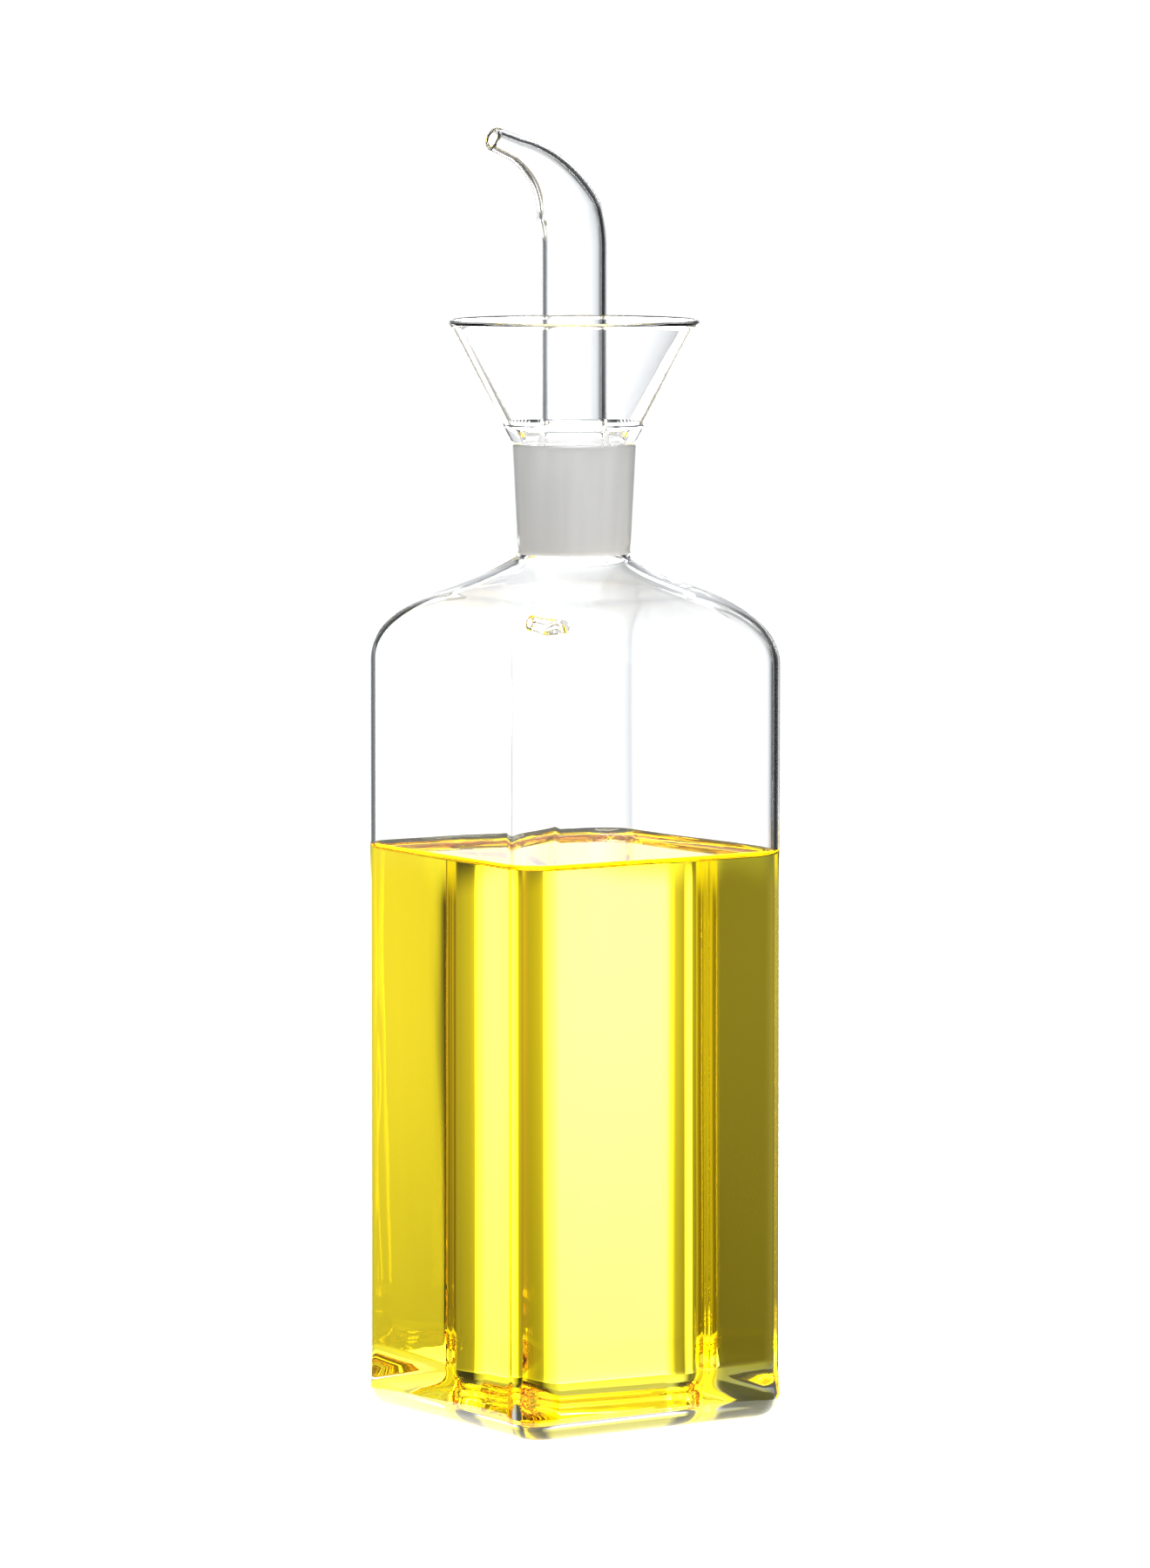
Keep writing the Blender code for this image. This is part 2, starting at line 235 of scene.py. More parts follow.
# Fineness of the surfaces
CORNER_STEPS = 32
FLAT_STEPS = 8
FLOOR_STEPS = 10
FLOOR_EDGE_STEPS = 12
SHOULDER_ARC_STEPS = 30
SHOULDER_SLOPE_STEPS = 16
NECK_STEPS = 12
OIL_WALL_STEPS = 40
OIL_SURFACE_STEPS = 44
WALL_STEP = 0.0015
TURN_STEPS = 96
PLUG_FOOT_STEPS = 5
PLUG_STEPS = 16
FUNNEL_STEPS = 24
TROUGH_STEPS = 14
FLARE_STEPS = 10
SPOUT_STEPS = 20
BEND_STEPS = 48
TIP_STEPS = 8
BAR_STEPS = 32
VENT_STEPS = 8
FLOOR_TURN_STEPS = 96

# Materials of the bottle's and the pourer's faces by their index
CLEAR, WET, GROUND, UPRIGHT = range(4)
POURER_GROUND, POURER_FOOT = 1, 2

# Light paths: many reflections stay inside the glass and the oil
BOUNCES = 64
GLOSSY_BOUNCES = 40
TRANSPARENT_BOUNCES = 24


def add_piece(name, bm, materials):
    mesh = bpy.data.meshes.new(name)
    bm.to_mesh(mesh)
    bm.free()
    for material in materials:
        mesh.materials.append(material)
    mesh.shade_smooth()
    piece = bpy.data.objects.new(name, mesh)
    bpy.context.scene.collection.objects.link(piece)
    return piece


def section(half, corner, roundness, height):
    """A ring of the body: a rounded square that turns into a circle as roundness goes to 1."""
    per_quarter = CORNER_STEPS + FLAT_STEPS
    straight = half - corner
    points = []
    for quarter in range(4):
        turn = Matrix.Rotation(math.radians(90.0 * quarter), 3, "Z")
        for step in range(per_quarter):
            if step <= CORNER_STEPS:
                angle = math.radians(90.0 * step / CORNER_STEPS)
                square = Vector((straight + corner * math.cos(angle),
                                 straight + corner * math.sin(angle), 0.0))
            else:
                along = 1.0 - 2.0 * (step - CORNER_STEPS) / FLAT_STEPS
                square = Vector((straight * along, half, 0.0))
            angle = math.radians(45.0 + (step - CORNER_STEPS / 2) * 90.0 / per_quarter)
            circle = Vector((half * math.cos(angle), half * math.sin(angle), 0.0))
            point = turn @ square.lerp(circle, roundness)
            point.z = height
            points.append(point)
    return points


def circle(radius, height):
    count = 4 * (CORNER_STEPS + FLAT_STEPS)
    start = 45.0 - CORNER_STEPS / 2 * 360.0 / count
    return [
        Vector((radius * math.cos(math.radians(start + 360.0 * k / count)),
                radius * math.sin(math.radians(start + 360.0 * k / count)), height))
        for k in range(count)
    ]


def arc(centre, radius, start, end, steps):
    """Points of (reach, height) on an arc, by its angles from the outward direction."""
    points = []
    for step in range(steps + 1):
        angle = math.radians(start + (end - start) * step / steps)
        points.append((centre[0] + radius * math.cos(angle), centre[1] + radius * math.sin(angle)))
    return points


def floor_rings(inset, floor, edge):
    """Rings of the flat floor and its rounded edge, up to the upright wall."""
    half = HALF_WIDTH - inset
    corner = CORNER_RADIUS - inset
    rings = []
    for step in range(1, FLOOR_STEPS):
        share = step / FLOOR_STEPS
        rings.append(section((half - edge) * share, (corner - edge) * share, 0.0, floor))
    for reach, height in arc((half - edge, floor + edge), edge, -90.0, 0.0, FLOOR_EDGE_STEPS):
        rings.append(section(reach, corner - (half - reach), 0.0, height))
    return rings


def shoulder_outline(inset):
    """(reach, height) from the upright wall over the shoulder to the foot of the neck."""
    half = HALF_WIDTH - inset
    neck = NECK_FOOT_RADIUS - inset
    radius = SHOULDER_RADIUS - inset
    fillet = NECK_FILLET + inset
    slope = math.degrees(SHOULDER_SLOPE)
    outline = arc((half - radius, SHOULDER_START), radius, 0.0, 90.0 - slope, SHOULDER_ARC_STEPS)
    start_reach, start_height = outline[-1]
    end_reach = neck + fillet * (1.0 - math.sin(SHOULDER_SLOPE))
    for step in range(1, SHOULDER_SLOPE_STEPS + 1):
        reach = start_reach + (end_reach - start_reach) * step / SHOULDER_SLOPE_STEPS
        outline.append((reach, start_height + (start_reach - reach) * math.tan(SHOULDER_SLOPE)))
    centre = (neck + fillet, outline[-1][1] + fillet * math.cos(SHOULDER_SLOPE))
    outline += arc(centre, fillet, 270.0 - slope, 180.0, NECK_STEPS)[1:]
    return outline


def body_rings(inset, floor, edge, marks):
    """Rings of the whole body at an inset: floor edge, upright wall with marks, shoulder."""
    half = HALF_WIDTH - inset
    corner = CORNER_RADIUS - inset
    neck = NECK_FOOT_RADIUS - inset
    rings = floor_rings(inset, floor, edge)
    heights = set(marks)
    count = round((SHOULDER_START - floor - edge) / WALL_STEP)
    for step in range(1, count):
        heights.add(floor + edge + (SHOULDER_START - floor - edge) * step / count)
    for height in sorted(heights):
        rings.append(section(half, corner, 0.0, height))
    for reach, height in shoulder_outline(inset):
        share = max(0.0, (half - reach) / (half - neck)) ** SHOULDER_ROUNDING
        rings.append(section(reach, corner, share * share * (3.0 - 2.0 * share), height))
    return rings


def loft(rings, closed_start, closed_end):
    """A bmesh through a stack of rings; the first and last may end in a fan to their centre."""
    bm = bmesh.new()
    layers = [[bm.verts.new(point) for point in ring] for ring in rings]
    count = len(layers[0])
    for lower, upper in zip(layers, layers[1:]):
        for index in range(count):
            following = (index + 1) % count
            bm.faces.new((lower[index], lower[following], upper[following], upper[index]))
    ends = []
    if closed_start:
        ends.append((rings[0], layers[0], -1))
    if closed_end:
        ends.append((rings[-1], layers[-1], 1))
    for ring, layer, way in ends:
        centre = bm.verts.new(sum(ring, Vector()) / len(ring))
        for index in range(count):
            pair = (layer[index], layer[(index + 1) % count])
            bm.faces.new((pair[1], pair[0], centre) if way < 0 else (pair[0], pair[1], centre))
    return bm


def ripple(point, amount, seed):
    """Slow uneven swell of blown glass, stretched along the height, mostly within the amount."""
    across, aside, up = SWELL_SCALE
    place = Vector((point.x * across, point.y * aside, point.z * up + seed))
    return amount * noise.noise(place) * SWELL_GAIN


def swell(rings, amount, seed):
    """Moves rings of a wall in and out by the ripple, along the level outward direction."""
    for ring in rings:
        for point in ring:
            out = Vector((point.x, point.y, 0.0))
            if out.length > NEAR_AXIS:
                out.normalize()
                point += out * ripple(point, amount, seed)


def socket_radius(height):
    return SOCKET_FOOT_RADIUS + JOINT_TAPER * (height - SOCKET_FOOT)


def funnel_radius(height):
    rise = (FUNNEL_RIM_RADIUS - FUNNEL_FOOT_RADIUS) / (FUNNEL_RIM - FUNNEL_FOOT)
    return FUNNEL_FOOT_RADIUS + rise * (height - FUNNEL_FOOT)


def new_material(name):
    material = bpy.data.materials.new(name)
    material.use_nodes = True
    return material, material.node_tree, material.node_tree.nodes["Principled BSDF"]


def glass_material(name, ior, shine):
    """Clear glass that bends light by ior, with faint cords as relief; shine tints its reflections."""
    material, tree, shader = new_material(name)
    shader.inputs["Base Color"].default_value = (1.0, 1.0, 1.0, 1.0)
    shader.inputs["Roughness"].default_value = 0.0
    shader.inputs["IOR"].default_value = ior
    shader.inputs["Transmission Weight"].default_value = 1.0
    shader.inputs["Specular Tint"].default_value = (*shine, 1.0)
    if ior > 1.0:
        place = tree.nodes.new("ShaderNodeTexCoord")
        stretch = tree.nodes.new("ShaderNodeMapping")
        stretch.inputs["Scale"].default_value = CORD_SCALE
        cords = tree.nodes.new("ShaderNodeTexNoise")
        cords.inputs["Scale"].default_value = 1.0
        cords.inputs["Detail"].default_value = 1.0
        bump = tree.nodes.new("ShaderNodeBump")
        bump.inputs["Strength"].default_value = CORD_STRENGTH
        bump.inputs["Distance"].default_value = CORD_DEPTH
        tree.links.new(place.outputs["Object"], stretch.inputs["Vector"])
        tree.links.new(stretch.outputs["Vector"], cords.inputs["Vector"])
        tree.links.new(cords.outputs["Fac"], bump.inputs["Height"])
        tree.links.new(bump.outputs["Normal"], shader.inputs["Normal"])
    return material


def ground_material():
    """Ground glass of the joint: fine even frosting that scatters what shines through."""
    material, tree, shader = new_material("ground_glass")
    shader.inputs["IOR"].default_value = GROUND_IOR
    shader.inputs["Transmission Weight"].default_value = GROUND_CLEARNESS
    place = tree.nodes.new("ShaderNodeTexCoord")
    grain = tree.nodes.new("ShaderNodeTexNoise")
    grain.inputs["Scale"].default_value = GROUND_GRAIN
    grain.inputs["Detail"].default_value = 3.0
    runs = tree.nodes.new("ShaderNodeMapping")
    runs.inputs["Scale"].default_value = GROUND_RUNS
    cloud = tree.nodes.new("ShaderNodeTexNoise")
    cloud.inputs["Scale"].default_value = 1.0
    whiteness = tree.nodes.new("ShaderNodeMapRange")
    whiteness.inputs["From Min"].default_value = GROUND_RUNS_RANGE[0]
    whiteness.inputs["From Max"].default_value = GROUND_RUNS_RANGE[1]
    whiteness.inputs["To Min"].default_value = GROUND_WHITENESS[0]
    whiteness.inputs["To Max"].default_value = GROUND_WHITENESS[1]
    tree.links.new(place.outputs["Object"], runs.inputs["Vector"])
    tree.links.new(runs.outputs["Vector"], cloud.inputs["Vector"])
    tree.links.new(cloud.outputs["Fac"], whiteness.inputs["Value"])
    tree.links.new(whiteness.outputs["Result"], shader.inputs["Base Color"])
    spread = tree.nodes.new("ShaderNodeMapRange")
    spread.inputs["To Min"].default_value = GROUND_ROUGHNESS[0]
    spread.inputs["To Max"].default_value = GROUND_ROUGHNESS[1]
    tree.links.new(place.outputs["Object"], grain.inputs["Vector"])
    tree.links.new(grain.outputs["Fac"], spread.inputs["Value"])
    tree.links.new(spread.outputs["Result"], shader.inputs["Roughness"])
    return material


def oil_material():
    """Yellow oil that bends light only at its free surface, not where it wets the glass."""
    material, tree, shader = new_material("yellow_oil")
    shader.inputs["Base Color"].default_value = (1.0, 1.0, 1.0, 1.0)
    shader.inputs["Roughness"].default_value = 0.0
    shader.inputs["Transmission Weight"].default_value = 1.0
    shader.inputs["Specular Tint"].default_value = (*OIL_SHINE, 1.0)
    free = tree.nodes.new("ShaderNodeAttribute")
    free.attribute_name = "free_surface"
    index = tree.nodes.new("ShaderNodeMapRange")
    index.inputs["To Min"].default_value = 1.0
    index.inputs["To Max"].default_value = GLASS_IOR
    tree.links.new(free.outputs["Fac"], index.inputs["Value"])
    tree.links.new(index.outputs["Result"], shader.inputs["IOR"])
    depth = tree.nodes.new("ShaderNodeVolumeAbsorption")
    depth.inputs["Color"].default_value = (*OIL_COLOUR, 1.0)
    depth.inputs["Density"].default_value = OIL_DENSITY
    output = tree.nodes["Material Output"]
    tree.links.new(depth.outputs["Volume"], output.inputs["Volume"])
    return material


def make_bottle(materials):
    """The whole bottle as one closed skin: up the outside, over the lip and down the inside."""
    wall_contact = OIL_LEVEL + MENISCUS_HEIGHT * math.exp(-OIL_INTO_WALL / MENISCUS_REACH)
    outer = body_rings(0.0, 0.0, BASE_EDGE_RADIUS, ())
    for ring in outer:
        if not UNEVEN_START < ring[0].z < NECK_TOP:
            continue
        for point in ring:
            fade = min(1.0, (point.z - UNEVEN_START) / UNEVEN_RUN_IN)
            out = Vector((point.x, point.y, 0.0)).normalized()
            bow = Vector((point.x * point.y * point.y, point.y * point.x * point.x, 0.0))
            bow = bow / HALF_WIDTH ** 3
            draw_in = OUTER_DRAW_IN + ripple(point, OUTER_SWELL, OUTER_SEED)
            point -= bow * fade * FACE_BOW + out * fade * draw_in
    neck_outer = socket_radius(NECK_TOP) + WALL
    foot = outer[-1][0].z
    for step in range(1, NECK_STEPS + 1):
        height = foot + (NECK_TOP - LIP_RADIUS - foot) * step / NECK_STEPS
        share = (height - foot) / (NECK_TOP - foot)
        outer.append(circle(NECK_FOOT_RADIUS + (neck_outer - NECK_FOOT_RADIUS) * share, height))
    lip = arc((neck_outer - LIP_RADIUS, NECK_TOP - LIP_RADIUS), LIP_RADIUS, 0.0, 90.0, 6)[1:]
    inner_top = NECK_TOP - INNER_LIP_RADIUS
    inner_lip = (socket_radius(NECK_TOP) + INNER_LIP_RADIUS, inner_top)
    lip += arc(inner_lip, INNER_LIP_RADIUS, 90.0, 180.0, 5)
    outer += [circle(radius, height) for radius, height in lip]

    inner = body_rings(WALL, BASE_THICKNESS, FLOOR_EDGE_RADIUS, (wall_contact,))
    uneven = [ring for ring in inner if BASE_THICKNESS < ring[0].z < SOCKET_FOOT - EVEN_BELOW_SOCKET]
    swell(uneven, INNER_SWELL, INNER_SEED)
    inner_foot = inner[-1][0].z
    for step in range(1, NECK_STEPS):
        height = inner_foot + (inner_top - inner_foot) * step / NECK_STEPS
        inner.append(circle(socket_radius(height), height))
    bm = loft(outer + list(reversed(inner)), True, True)

    def slot_of(face):
        centre = face.calc_center_median()
        reach = max(abs(centre.x), abs(centre.y))
        level = Vector((centre.x, centre.y)).length
        in_socket = level < socket_radius(centre.z) + GROUND_MARGIN
        if in_socket and centre.z > SOCKET_FOOT - GROUND_BELOW_SOCKET:
            return GROUND
        outside = reach > HALF_WIDTH - MID_WALL
        from_oil = Vector((centre.x, centre.y, centre.z - OIL_LEVEL / 2))
        if not outside and MID_BASE < centre.z < wall_contact and face.normal.dot(from_oil) < 0:
            return WET
        if outside and UPRIGHT_FOOT < centre.z < SHOULDER_START:
            return UPRIGHT
        return CLEAR

    bm.normal_update()
    for face in bm.faces:
        face.material_index = slot_of(face)
    return add_piece("bottle_glass", bm, materials)


def make_oil(material):
    """The oil, a little into the wall, with its surface drawn up where it meets the glass."""
    inset = WALL - OIL_INTO_WALL
    half = HALF_WIDTH - inset
    corner = CORNER_RADIUS - inset
    edge = FLOOR_EDGE_RADIUS + OIL_INTO_WALL
    floor = BASE_THICKNESS - OIL_INTO_WALL
    contact = OIL_LEVEL + MENISCUS_HEIGHT
    rings = floor_rings(inset, floor, edge)
    for step in range(1, OIL_WALL_STEPS + 1):
        height = floor + edge + (contact - floor - edge) * step / OIL_WALL_STEPS
        rings.append(section(half, corner, 0.0, height))
    side_rings = len(rings)
    for step in range(1, OIL_SURFACE_STEPS):
        pull = half * (step / OIL_SURFACE_STEPS) ** SURFACE_CROWDING
        height = OIL_LEVEL + MENISCUS_HEIGHT * math.exp(-pull / MENISCUS_REACH)
        here = half - pull
        round_corner = max(corner - pull * SURFACE_CORNER_SHRINK, SURFACE_CORNER_LEAST)
        rings.append(section(here, min(round_corner, here), 0.0, height))
    bm = loft(rings, True, True)
    bm.faces.ensure_lookup_table()
    per_ring = len(rings[0])
    free = bm.faces.layers.float.new("free_surface")
    for index, face in enumerate(bm.faces):
        band = index // per_ring
        on_top = band >= side_rings - 1
        if band >= len(rings) - 1:
            on_top = face.calc_center_median().z > OIL_LEVEL / 2
        face[free] = 1.0 if on_top else 0.0
    return add_piece("oil_fill", bm, (material,))


def spout_radius(along):
    bend_length = SPOUT_BEND_RADIUS * SPOUT_BEND_ANGLE
    if along < bend_length:
        share = max(0.0, along - SPOUT_TAPER_START) / (bend_length - SPOUT_TAPER_START)
        share = share + SPOUT_TAPER_FULLNESS * math.sin(math.pi * share)
        return SPOUT_RADIUS + (SPOUT_NOSE_RADIUS - SPOUT_RADIUS) * share
    share = (along - bend_length) / SPOUT_NOSE_LENGTH
    return SPOUT_NOSE_RADIUS + (SPOUT_TIP_RADIUS - SPOUT_NOSE_RADIUS) * share


def spout_frames(steps):
    """(centre, direction, outer radius) along the spout from the start of its bend to its tip."""
    bend_length = SPOUT_BEND_RADIUS * SPOUT_BEND_ANGLE
    whole = bend_length + SPOUT_NOSE_LENGTH
    frames = []
    for step in range(steps + 1):
        along = whole * step / steps
        angle = min(along, bend_length) / SPOUT_BEND_RADIUS
        direction = Vector((-math.sin(angle), 0.0, math.cos(angle)))
        centre = Vector((SPOUT_BEND_RADIUS * (math.cos(angle) - 1.0), 0.0,
                         SPOUT_BEND_START + SPOUT_BEND_RADIUS * math.sin(angle)))
        centre += direction * max(0.0, along - bend_length)
        frames.append((centre, direction, spout_radius(along)))
    return frames


def tilted_ring(centre, direction, radius):
    side = Vector((0.0, 1.0, 0.0))
    across = side.cross(direction)
    points = []
    for step in range(TURN_STEPS):
        angle = 2.0 * math.pi * step / TURN_STEPS
        points.append(centre + (across * math.cos(angle) + side * math.sin(angle)) * radius)
    return points


def level_ring(radius, height):
    return tilted_ring(Vector((0.0, 0.0, height)), Vector((0.0, 0.0, 1.0)), radius)


def flare(start, pull, end, steps):
    """Points after start on a curve that leaves towards pull and runs to end."""
    points = []
    for step in range(1, steps + 1):
        share = step / steps
        weights = ((1.0 - share) ** 2, 2.0 * share * (1.0 - share), share ** 2)
        points.append(tuple(
            sum(weight * point[axis] for weight, point in zip(weights, (start, pull, end)))
            for axis in range(2)
        ))
    return points


def spaced(start, end, steps):
    """Points after start on the straight line to end."""
    return [(start[0] + (end[0] - start[0]) * k / steps, start[1] + (end[1] - start[1]) * k / steps)
            for k in range(1, steps + 1)]


def plug_outline():
    """(radius, height) from the plug's foot up its ground side to the foot of the funnel."""
    foot_centre = (socket_radius(PLUG_FOOT) - JOINT_GAP - PLUG_FOOT_ROUND, PLUG_FOOT + PLUG_FOOT_ROUND)
    top = socket_radius(FUNNEL_FOOT) - JOINT_GAP
    outline = arc(foot_centre, PLUG_FOOT_ROUND, -90.0, 0.0, PLUG_FOOT_STEPS)
    outline += spaced(outline[-1], (top, FUNNEL_FOOT - FUNNEL_FOOT_ROUND), PLUG_STEPS)
    outline += flare(outline[-1], (top, FUNNEL_FOOT), (top + FUNNEL_FOOT_ROUND, FUNNEL_FOOT), 4)
    outline += spaced(outline[-1], (FUNNEL_FOOT_RADIUS - FUNNEL_FOOT_ROUND, FUNNEL_FOOT), 4)
    return outline


def funnel_outline(start):
    """(radius, height) after start: out over the rim, down into the trough and up to the bend."""
    slope = math.atan((FUNNEL_RIM_RADIUS - FUNNEL_FOOT_RADIUS) / (FUNNEL_RIM - FUNNEL_FOOT))
    bead = FUNNEL_WALL / 2
    above_foot = FUNNEL_FOOT + FUNNEL_FOOT_ROUND
    outline = flare(start, (FUNNEL_FOOT_RADIUS, FUNNEL_FOOT), (funnel_radius(above_foot), above_foot), 6)
    rim_centre = (FUNNEL_RIM_RADIUS - bead, FUNNEL_RIM - bead)
    lean = math.degrees(slope)
    rim = arc(rim_centre, bead, -lean, 180.0 - lean, 12)
    outline += spaced(outline[-1], rim[0], FUNNEL_STEPS)
    outline += rim[1:]
    inner_start = TROUGH_CENTRE_HEIGHT + TROUGH_FLARE_HEIGHT
    inner_end = (funnel_radius(inner_start) - FUNNEL_WALL / math.cos(slope), inner_start)
    outline += spaced(outline[-1], inner_end, FUNNEL_STEPS)
    trough = arc((TROUGH_CENTRE_RADIUS, TROUGH_CENTRE_HEIGHT), TROUGH_RADIUS, 0.0, -180.0, TROUGH_STEPS)
    pull = (trough[0][0] + TROUGH_FLARE_PULL[0], trough[0][1] + TROUGH_FLARE_PULL[1])
    outline += flare(inner_end, pull, trough[0], FLARE_STEPS)
    outline += trough[1:]
    pull = (SPOUT_RADIUS, TROUGH_CENTRE_HEIGHT + TROUGH_INNER_FLARE_PULL)
    spout_foot = (SPOUT_RADIUS, TROUGH_CENTRE_HEIGHT + TROUGH_INNER_FLARE_HEIGHT)
    outline += flare(trough[-1], pull, spout_foot, FLARE_STEPS)
    outline += spaced(outline[-1], (SPOUT_RADIUS, SPOUT_BEND_START), SPOUT_STEPS)
    return outline


def bend_rings():
    """Rings up the outside of the bent spout, over its lip and back down its bore."""
    frames = spout_frames(BEND_STEPS)
    rings = [tilted_ring(*frame) for frame in frames[1:]]
    centre, direction, radius = frames[-1]
    lip = SPOUT_WALL / 2
    for step in range(1, TIP_STEPS + 1):
        angle = math.pi * step / TIP_STEPS
        rings.append(tilted_ring(centre + direction * lip * math.sin(angle), direction,
                                 radius - lip + lip * math.cos(angle)))
    for centre, direction, radius in reversed(frames[:-1]):
        rings.append(tilted_ring(centre, direction, radius - SPOUT_WALL))
    return rings


def bore_outline():
    """(radius, height) down the bore of the spout and the wider hollow of the plug, to its foot."""
    bore = SPOUT_RADIUS - SPOUT_WALL
    top = socket_radius(CHAMBER_SHOULDER) - JOINT_GAP - PLUG_WALL
    foot = socket_radius(PLUG_FOOT) - JOINT_GAP - PLUG_WALL
    across, above = CHAMBER_SHOULDER_ROUND
    outline = spaced((bore, SPOUT_BEND_START), (bore, CHAMBER_SHOULDER + CHAMBER_THROAT), SPOUT_STEPS)
    outline += flare(outline[-1], (bore, CHAMBER_SHOULDER + CHAMBER_THROAT_PULL),
                     (top - across, CHAMBER_SHOULDER + above), 8)
    outline += flare(outline[-1], (top, CHAMBER_SHOULDER),
                     (top, CHAMBER_SHOULDER - CHAMBER_SIDE_ROUND), 5)
    outline += spaced(outline[-1], (foot, PLUG_FOOT + PLUG_FOOT_ROUND), 12)
    foot_centre = (foot + PLUG_FOOT_ROUND, PLUG_FOOT + PLUG_FOOT_ROUND)
    outline += arc(foot_centre, PLUG_FOOT_ROUND, 180.0, 270.0, PLUG_FOOT_STEPS)[1:]
    return outline


def make_pourer(materials):
    """Plug, funnel and spout as one closed skin, from the plug's foot out, up and back inside."""
    outline = plug_outline()
    outline += funnel_outline(outline[-1])
    rings = [level_ring(radius, height) for radius, height in outline]
    rings += bend_rings()
    rings += [level_ring(radius, height) for radius, height in bore_outline()]

    bm = bmesh.new()
    layers = [[bm.verts.new(point) for point in ring] for ring in rings]
    layers.append(layers[0])
    ground_bands = PLUG_FOOT_STEPS + PLUG_STEPS
    for band, (lower, upper) in enumerate(zip(layers, layers[1:])):
        for index in range(TURN_STEPS):
            following = (index + 1) % TURN_STEPS
            face = bm.faces.new((lower[index], lower[following], upper[following], upper[index]))
            if band < ground_bands:
                face.material_index = POURER_GROUND
            elif FOOT_ZONE[0] < face.calc_center_median().z < FOOT_ZONE[1]:
                face.material_index = POURER_FOOT
    return add_piece("pourer_glass", bm, materials)


def bar(name, route):
    """A round bar along a route of (point, radius), as a closed mesh."""
    rings = []
    last = len(route) - 1
    side = (route[1][0] - route[0][0]).orthogonal()
    for index, (point, radius) in enumerate(route):
        ahead = (route[min(index + 1, last)][0] - route[max(index - 1, 0)][0]).normalized()
        side = (side - ahead * side.dot(ahead)).normalized()
        across = side.cross(ahead)
        ring = []
        for step in range(BAR_STEPS):
            angle = 2 * math.pi * step / BAR_STEPS
            ring.append(point + (across * math.cos(angle) + side * math.sin(angle)) * radius)
        rings.append(ring)
    bm = loft(rings, True, True)
    bmesh.ops.recalc_face_normals(bm, faces=bm.faces)
    return add_piece(name, bm, ())


def rounded_end(start, following, radius, steps):
    """Stations of (point, radius) that round off a bar before the start of its route."""
    back = (start - following).normalized() * radius
    stations = []
    for step in range(steps):
        angle = math.radians(90.0 * (steps - step) / (steps + 1))
        stations.append((start + back * math.sin(angle), radius * math.cos(angle)))
    return stations


def smooth_route(stations, steps):
    """Points on a smooth curve through the stations of (point, radius)."""
    route = []
    padded = [stations[0]] + stations + [stations[-1]]
    for index in range(1, len(padded) - 2):
        (a, _), (b, rb), (c, rc), (d, _) = padded[index - 1:index + 3]
        for step in range(steps):
            t = step / steps
            squared = (2 * a - 5 * b + 4 * c - d) * t * t
            cubed = (3 * b - a - 3 * c + d) * t ** 3
            point = 0.5 * (2 * b + (c - a) * t + squared + cubed)
            route.append((point, rb + (rc - rb) * t))
    route.append(stations[-1])
    return route


def apply_boolean(piece, operation, helper, finish):
    """Joins a helper shape to the piece, or cuts it out, for good, and removes the helper.

    The faces that it leaves take the piece's material of index finish.
    """
    for material in piece.data.materials:
        helper.data.materials.append(material)
    for face in helper.data.polygons:
        face.material_index = finish
    change = piece.modifiers.new("change", "BOOLEAN")
    change.operation = operation
    change.object = helper
    graph = bpy.context.evaluated_depsgraph_get()
    mesh = bpy.data.meshes.new_from_object(piece.evaluated_get(graph))
    piece.modifiers.remove(change)
    piece.data = mesh
    bpy.data.objects.remove(helper, do_unlink=True)


def add_vent(bottle, glass):
    """The small bent air vent on the shoulder, joined to the wall and bored through."""
    past_tip = VENT_TIP + (VENT_TIP - VENT_KNEE).normalized() * CUT_MARGIN
    outside = rounded_end(VENT_ROOT, VENT_KNEE, VENT_RADIUS, VENT_STEPS)
    outside += smooth_route([
        (VENT_ROOT, VENT_RADIUS), (VENT_KNEE, VENT_RADIUS), (VENT_TIP, VENT_TIP_RADIUS),
    ], VENT_STEPS)
    finish = len(bottle.data.materials)
    bottle.data.materials.append(glass)
    apply_boolean(bottle, "UNION", bar("vent_outside", outside), finish)
    middle_line = (VENT_ROOT + VENT_BORE_INWARD, VENT_ROOT, VENT_KNEE, VENT_TIP, past_tip)
    bore = smooth_route([(point, VENT_BORE_RADIUS) for point in middle_line], VENT_STEPS)
    apply_boolean(bottle, "DIFFERENCE", bar("vent_bore", bore), finish)


def add_drip_hole(pourer):
    """The small hole from the drip trough back into the plug."""
    turn = Matrix.Rotation(DRIP_HOLE_TURN, 3, "Z")
    top = turn @ Vector((TROUGH_CENTRE_RADIUS, 0.0, TROUGH_CENTRE_HEIGHT))
    foot = turn @ Vector((DRIP_HOLE_FOOT_RADIUS, 0.0, CHAMBER_SHOULDER))
    hole = bar("drip_hole", [(foot, DRIP_HOLE_RADIUS), (top, DRIP_HOLE_RADIUS)])
    apply_boolean(pourer, "DIFFERENCE", hole, CLEAR)


def make_floor():
    """A plain pale floor under the bottle that glows softly."""
    bm = bmesh.new()
    bmesh.ops.create_circle(bm, cap_ends=True, segments=FLOOR_TURN_STEPS, radius=FLOOR_RADIUS)
    material, _, shader = new_material("studio_floor")
    shader.inputs["Base Color"].default_value = grey(FLOOR_COLOUR)
    shader.inputs["Roughness"].default_value = FLOOR_ROUGHNESS
    shader.inputs["Emission Color"].default_value = (1.0, 1.0, 1.0, 1.0)
    shader.inputs["Emission Strength"].default_value = FLOOR_GLOW
    floor = add_piece("floor", bm, (material,))
    floor.location.z = -FLOOR_GAP


